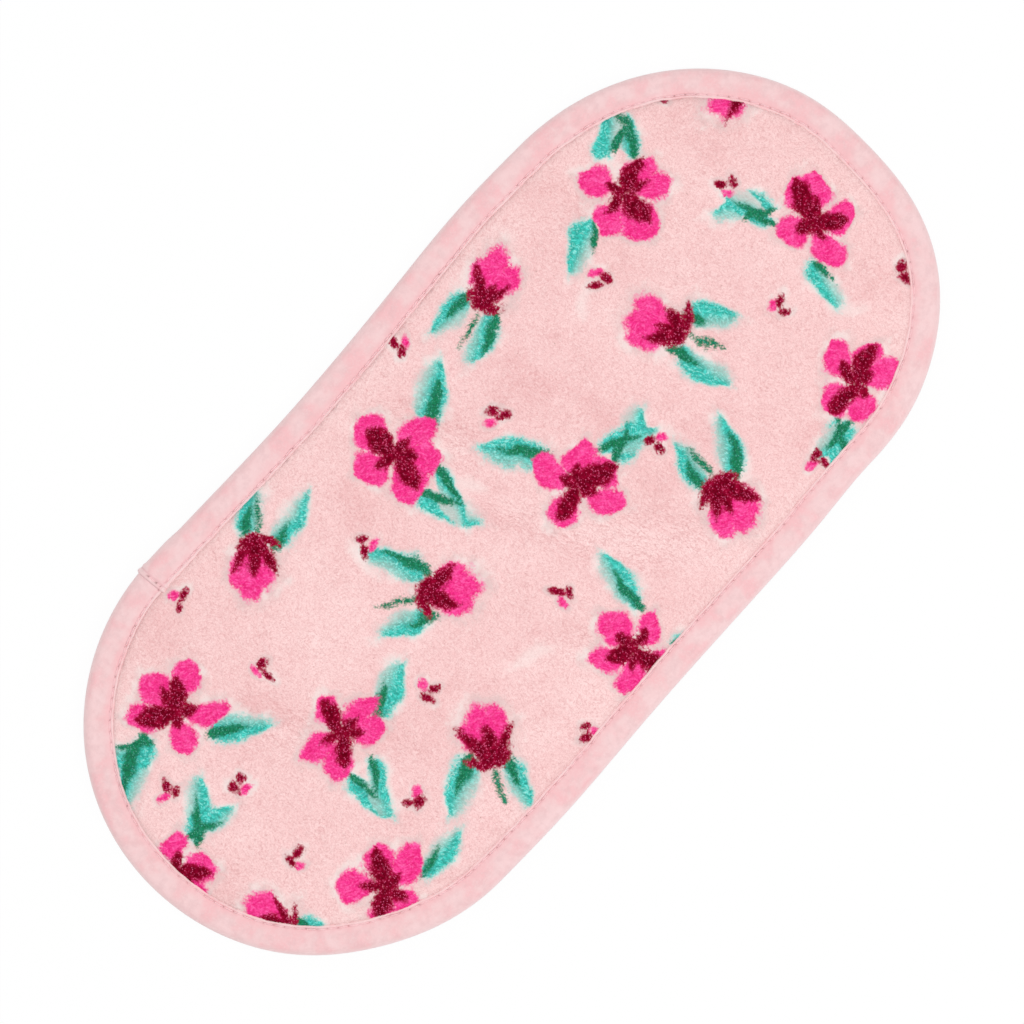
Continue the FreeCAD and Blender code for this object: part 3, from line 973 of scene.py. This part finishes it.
def plush_ground(pile, tufts):
    """Pile colour without a print: each tuft its own tone, paler tips as painted highlights,
    greyer crevices as painted shade, rosier painted shade and painted light where the pile
    leans one way or the other, fine curved partings, and painted shade beside the lip."""
    off_middle, own = tufts
    flow = pile.turned(PILE_FLOW, 2.6, pile.swirled(7.0, 7.0))
    streaks = pile.noise(0.75, 3.0, 0.6, flow)
    mottle, fibres = pile.noise(3.6), pile.noise(0.25, 1.0)
    lean = pile.sum(pile.number("lean"), pile.times(pile.sum(mottle, -0.5), 1.5))
    colour = pile.layered(
        PLUSH_GROUND,
        # Painted shade where the pile leans one way, painted light where it leans the other.
        (PLUSH_ROSE_SHADE, (lean, 0.0, 1.3, 0.0, 0.75)),
        (PLUSH_TIP_HIGHLIGHT, (lean, 0.0, -1.3, 0.0, 0.38)),
        (PLUSH_TIP_HIGHLIGHT, (streaks, 0.5, 0.72, 0.0, 0.18)),
        (PLUSH_CREVICE_SHADE, (streaks, 0.48, 0.3, 0.0, 0.10)),
        (PLUSH_TIP_HIGHLIGHT, (own, 0.55, 0.9, 0.0, 0.18)),
        (PLUSH_CREVICE_SHADE, (own, 0.12, 0.45, 0.08, 0.0)),
        # Painted shade between the tufts and on the lower tufts.
        (PLUSH_CREVICE_SHADE, (off_middle, 0.52, 0.82, 0.0, 0.34)),
        (PLUSH_CREVICE_SHADE, (pile.number("tuft"), -1.6, -0.5, 0.14, 0.0)))
    patches = pile.band(pile.noise(5.0), 0.48, 0.60, 0.0, 0.22)
    colour = parted_pile(pile, colour, flow, 1.25, 0.04, patches)
    along_creases = pile.turned(CREASE_FLOW, 3.2, pile.swirled(6.0, 2.5))
    creased = pile.band(pile.number("parted"), 0.15, 0.9, 0.0, 0.42)
    colour = parted_pile(pile, colour, along_creases, 0.85, 0.05, creased)
    colour = pile.layered(
        colour,
        (PLUSH_TIP_HIGHLIGHT, (fibres, 0.52, 0.72, 0.0, 0.26)),
        (PLUSH_CREVICE_SHADE, (fibres, 0.46, 0.26, 0.0, 0.42)))
    colour = curled_pile(pile, colour, 0.62, 0.06, 0.36)
    return pile.layered(
        colour,
        (PLUSH_SHADED, (pile.number("past_lip"), 3.5, 0.0, 0.0, 0.08)),
        (PLUSH_SPECK, (pile.noise(0.5, 1.0), 0.72, 0.78, 0.0, 0.5), (mottle, 0.42, 0.6)))


def plush_normal(pile, tufts):
    flow = pile.turned(PILE_FLOW, 2.2, pile.swirled(7.0, 7.0))
    low = pile.bump(pile.times(tufts[0], -1.0), 0.35, 0.2)
    return pile.bump(pile.noise(0.28, 2.0, 0.6, flow), 0.4, 0.12, low)


def leaf_colours(pile, tufts, nap, tip):
    """A leaf's teal blade, hatched by the nap, and the green stroke along it."""
    off_middle, own = tufts
    blade = pile.layered(
        PRINT_DEEP_TEAL,
        (PRINT_TEAL, (nap, 0.42, 0.56)),
        (PRINT_PALE_TEAL, (nap, 0.56, 0.70, 0.0, 0.6)))
    stroke = pile.layered(PRINT_GREEN, (PRINT_DEEP_TEAL, (own, 0.3, 0.95, 0.0, 0.15)))
    # Painted shade in the crevices between the stroke's tufts, and pale teal painted highlights on
    # their tips.
    stroke = pile.layered(
        stroke,
        (pile.scaled(stroke, PRINT_CREVICE_SHADE), (off_middle, 0.36, 0.75, 0.0, 0.5)),
        (PRINT_PALE_TEAL, tip, 0.25))
    return curled_pile(pile, blade, 0.72, 0.10, 0.7), stroke


def flower_colours(pile, own, coarse, bleed, nap, burgundy):
    """The petals' magenta, hatched by the nap, and the burgundy marks, redder at their edges."""
    pink = pile.layered(
        PRINT_MAGENTA,
        (PRINT_PINK, (bleed, 0.42, 0.68, 0.0, 0.3)),
        (PRINT_PINK, (nap, 0.50, 0.66, 0.0, 0.6)),
        (PRINT_CERISE, (nap, 0.48, 0.32, 0.0, 0.6)))
    wine = pile.layered(
        PRINT_BURGUNDY,
        (PRINT_RED, (coarse, 0.45, 0.75, 0.0, 0.5)),
        (PRINT_RED, (own, 0.35, 0.95, 0.0, 0.42)),
        (PRINT_RED, (burgundy, 1.1, 0.0, 0.0, 0.65)))
    return pink, wine


def printed(pile, colour, tufts):
    """The print on the pile: each tuft at an edge takes either colour, the dye has bled pale
    round the motifs, and the nap hatches it. In the red dyes the crevices between tufts carry
    painted shade, and their tips painted highlights."""
    off_middle, own = tufts
    coarse, bleed = pile.noise(1.7), pile.noise(3.5)
    nap = pile.noise(0.5, 2.0, 0.6, pile.turned(PILE_FLOW + 40, 3.0, pile.swirled(4.0, 3.5)))
    off_tip, own_tip = pile.cells(TUFT_TIP)
    tip = pile.share((own_tip, 0.55, 0.75), (off_tip, 0.6, 0.25))
    ragged = pile.sum(pile.sum(own, -0.5), pile.times(pile.sum(coarse, -0.5), 1.4))
    napped = pile.times(pile.sum(nap, -0.5), 2.4)
    magenta, burgundy, teal, green = [pile.sum(pile.number(dye), ragged) for dye in DYES]
    fade = pile.number("fade")
    nearest = pile.larger(magenta, pile.larger(burgundy, teal))
    blade, stroke = leaf_colours(pile, tufts, nap, tip)
    pink, wine = flower_colours(pile, own, coarse, bleed, nap, burgundy)
    colour = pile.layered(
        colour,
        (PRINT_HALO, (nearest, -3.0, -0.3), (bleed, 0.3, 0.65, 0.25, 0.8)),
        (PRINT_CREAM, (nearest, -4.0, -0.8), (pile.noise(6.0), 0.50, 0.64, 0.0, 0.48)),
        (PRINT_CREAM, (pile.sum(pile.number("cream"), napped), -1.2, 1.4, 0.0, 0.42)),
        (PRINT_PALE_TEAL, (teal, -1.8, 0.2), fade, 0.45),
        (blade, (pile.sum(teal, napped), -0.9, 0.7), fade),
        (stroke, (pile.sum(green, napped), -0.8, 0.6)),
        (pink, (magenta, -0.8, 0.7)),
        (wine, (burgundy, -0.55, 0.6)))
    reds = pile.band(pile.larger(magenta, burgundy), -0.2, 0.3)
    # Painted shade in the crevices between tufts of the red dyes, and painted highlights on their
    # tips.
    return pile.layered(
        colour,
        (pile.scaled(colour, PRINT_CREVICE_SHADE), (off_middle, 0.36, 0.75, 0.0, 0.6), reds),
        (PRINT_TIP_HIGHLIGHT, tip, reds, (burgundy, -0.2, 0.3, 0.2, 0.5)))


def plush_finish(name, with_print):
    pile = Finish(name)
    tufts = pile.cells(TUFT)
    colour = plush_ground(pile, tufts)
    if with_print:
        colour = printed(pile, colour, tufts)
    rough = pile.band(tufts[1], 0.2, 0.8, 0.82, 0.95)
    return pile.finish(colour, plush_normal(pile, tufts), rough, 0.015, 0.015, 0.5)


def tape_weave(tape):
    """The tape's threads, running along it and across it."""
    values = {"X": tape.number("along"), "Y": tape.number("across"), "Z": 0.0}
    place = tape.node("ShaderNodeCombineXYZ", values).outputs[0]
    wave = {"Vector": place, "Scale": 1.15, "Distortion": 0.6, "Detail": 1.0}
    threads = [tape.node("ShaderNodeTexWave", wave, bands_direction=way).outputs["Fac"]
               for way in ("X", "Y")]
    return tape.times(*threads)


def tape_finish():
    """Fine tape: a close weave and cloudy dye, with rosier painted shade where the seam draws
    it in, painted highlights round the rim's fold and along the lip, and painted shade in the
    needle's holes, along the seam and along the turned end."""
    tape = Finish("binding_tape")
    along, inset = tape.number("along"), tape.number("inset")
    weave = tape_weave(tape)
    mottle = tape.noise(1.6, 3.0, 0.55)
    clouds = tape.noise(6.5, 2.5, 0.55)
    grain = tape.noise(0.5, 2.0, 0.6)
    # Where painted shade lies along the turned end's fold.
    turned = tape.larger(tape.band(along, 0.30, 0.05),
                         tape.share((along, 1.0, 1.3), (along, 1.6, 1.35)))
    colour = tape.layered(
        TAPE_COLOUR,
        (TAPE_ROSE_AND_SEAM_SHADE, (clouds, 0.36, 0.56, 0.85, 0.0)),
        (TAPE_PALE, (clouds, 0.45, 0.72, 0.0, 0.45)),
        (TAPE_SHADED, (mottle, 0.40, 0.7, 0.0, 0.42)),
        (TAPE_PALE, (grain, 0.45, 0.75, 0.0, 0.35)),
        (TAPE_SHADED, (weave, 0.0, 0.5, 0.10, 0.0)),
        # Painted shade, rosier, where the tape dips into the seam.
        (TAPE_ROSE_AND_SEAM_SHADE, (inset, 4.3, 6.2), (mottle, 0.3, 0.6, 0.25, 0.6), (inset, 6.9, 6.5)),
        # Painted highlight along the lip.
        (TAPE_LIP_HIGHLIGHT, (inset, 6.6, 6.9), (mottle, 0.38, 0.6, 0.1, 0.55)),
        # Painted highlight round the rim's fold.
        (TAPE_RIM_HIGHLIGHT, (inset, 1.5, 0.0)),
        # Painted shade in the seam's groove.
        (TAPE_SEAM_SHADE, (tape.off(inset, STITCH_INSET / MM), 0.10, 0.40, 0.26, 0.0),
         (grain, 0.35, 0.6)),
        # Painted shade along the turned end's fold.
        (TAPE_SEAM_SHADE, turned, 0.42),
        # Painted shade in the needle's holes.
        (TAPE_HOLE_SHADE, tape.number("hole"), 0.75))
    normal = tape.bump(mottle, 0.3, 0.2, tape.bump(weave, 0.25, 0.05))
    return tape.finish(colour, normal, tape.band(mottle, 0.3, 0.7, 0.55, 0.72), 0.3, 0.55, 0.3)


def thread_finish():
    thread = Finish("sewing_thread")
    fibres = thread.noise(0.15, 2.0, 0.6)
    colour = thread.layered(THREAD_COLOUR, (THREAD_PALE, (fibres, 0.3, 0.7)))
    rough = thread.band(fibres, 0.3, 0.7, 0.45, 0.65)
    return thread.finish(colour, thread.bump(fibres, 0.3, 0.04), rough, 0.4, 0.1, 0.4)


def felt_finish():
    felt = Finish("felted_wadding")
    fibres = felt.noise(0.5, 4.0, 0.65, felt.turned(20, 3.0))
    clumps = felt.noise(4.0, 3.0, 0.55)
    colour = felt.layered(FELT_COLOUR, (FELT_PALE, (fibres, 0.35, 0.7)),
                          (FELT_SHADED, (clumps, 0.4, 0.7, 0.0, 0.3)))
    rough = felt.band(fibres, 0.3, 0.7, 0.88, 0.98)
    return felt.finish(colour, felt.bump(fibres, 0.5, 0.12), rough, 0.1, 0.15, 0.6)


# ---- the studio ----

# How the pad lies in the camera's view: how far it is turned, in degrees, how wide the view is
# at the pad's middle plane, and how far right of the pad's centre and above it the view's is.
PAD_TURN = 47.9
VIEW_WIDTH = 237.7 * MM
OFF_CENTRE = (0.07 * MM, 0.26 * MM)
LENS = 100.0
SENSOR = 36.0
WORLD_LIGHT = 0.55
FLOOR_HALF = 2.0
FLOOR_GREY = (0.86, 0.86, 0.86)
FLOOR_WHITENESS = 0.96
# Soft boxes: name, how far to the right, upwards and above the floor, size and watts.
LAMPS = (("key", 0.6, -0.35, 1.2, 0.9, 10.0), ("fill", -0.7, 0.5, 1.2, 1.4, 7.0))


def placed(name, data, right, up, height):
    """A camera or lamp, placed by the camera's right and up."""
    turn = math.radians(PAD_TURN)
    made = bpy.data.objects.new(name, data)
    made.location = (right * math.cos(turn) + up * math.sin(turn),
                     up * math.cos(turn) - right * math.sin(turn), height)
    bpy.context.scene.collection.objects.link(made)
    return made


def make_camera():
    """Straight above the pad, turned so that its +X end points up and to the right."""
    data = bpy.data.cameras.new("overhead")
    data.lens, data.sensor_width = LENS, SENSOR
    camera = placed("overhead", data, *OFF_CENTRE, VIEW_WIDTH * LENS / SENSOR + MIDDLE)
    camera.rotation_euler = (0, 0, -math.radians(PAD_TURN))
    bpy.context.scene.camera = camera


def make_lamp(name, right, up, height, size, watts):
    """A square soft box that is aimed at the pad."""
    data = bpy.data.lights.new(name, "AREA")
    data.shape, data.size, data.energy = "SQUARE", size, watts
    lamp = placed(name, data, right, up, height)
    lamp.rotation_euler = (-lamp.location).to_track_quat("-Z", "Y").to_euler()


def make_world():
    world = bpy.data.worlds.new("studio")
    world.use_nodes = True
    background = world.node_tree.nodes["Background"]
    background.inputs["Color"].default_value = (1, 1, 1, 1)
    background.inputs["Strength"].default_value = WORLD_LIGHT
    bpy.context.scene.world = world


def make_floor():
    """A pale floor that the camera sees as white and that keeps a trace of the shadow."""
    corners = [(x, y, 0) for x, y in ((-1, -1), (1, -1), (1, 1), (-1, 1))]
    floor = mesh_object("floor", FLOOR_HALF * np.array(corners), [(0, 1, 2, 3)], False)
    shader = Finish("floor")
    plain = shader.node("ShaderNodeBsdfDiffuse", {"Color": FLOOR_GREY}).outputs[0]
    white = shader.node("ShaderNodeEmission", {"Color": (1.0, 1.0, 1.0), "Strength": 1.0})
    path = shader.node("ShaderNodeLightPath").outputs
    seen = shader.larger(path["Is Camera Ray"], path["Is Glossy Ray"])
    seen = shader.times(shader.larger(seen, path["Is Transmission Ray"]), FLOOR_WHITENESS)
    mix = shader.node("ShaderNodeMixShader", {0: seen, 1: plain, 2: white.outputs[0]})
    shader.put(shader.output.inputs["Surface"], mix.outputs[0])
    floor.data.materials.append(shader.material)


# ---- the whole pad ----

def stand_for(piece, node, material):
    piece.data.materials.append(material)
    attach(piece, "root")
    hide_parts(node)


filling = simulated_rise()
thread = thread_finish()

plush_front = make_panel("plush_front", 0, filling)
stand_for(plush_front, "front_plush", plush_finish("printed_plush", True))

plush_back = make_panel("plush_back", 1, filling)
stand_for(plush_back, "back_plush", plush_finish("plain_plush", False))

wadding_felt = make_wadding()
stand_for(wadding_felt, "wadding", felt_finish())

binding_tape = make_binding()
stand_for(binding_tape, "edge_binding", tape_finish())

stand_for(make_topstitch("topstitch_front", 0), "needle_thread", thread)
stand_for(make_topstitch("topstitch_back", 1), "bobbin_thread", thread)
stand_for(make_joint_stitches(), "joint_stitching", thread)

make_floor()
make_world()
make_camera()
for lamp in LAMPS:
    make_lamp(*lamp)

bpy.context.scene.view_settings.view_transform = "Standard"
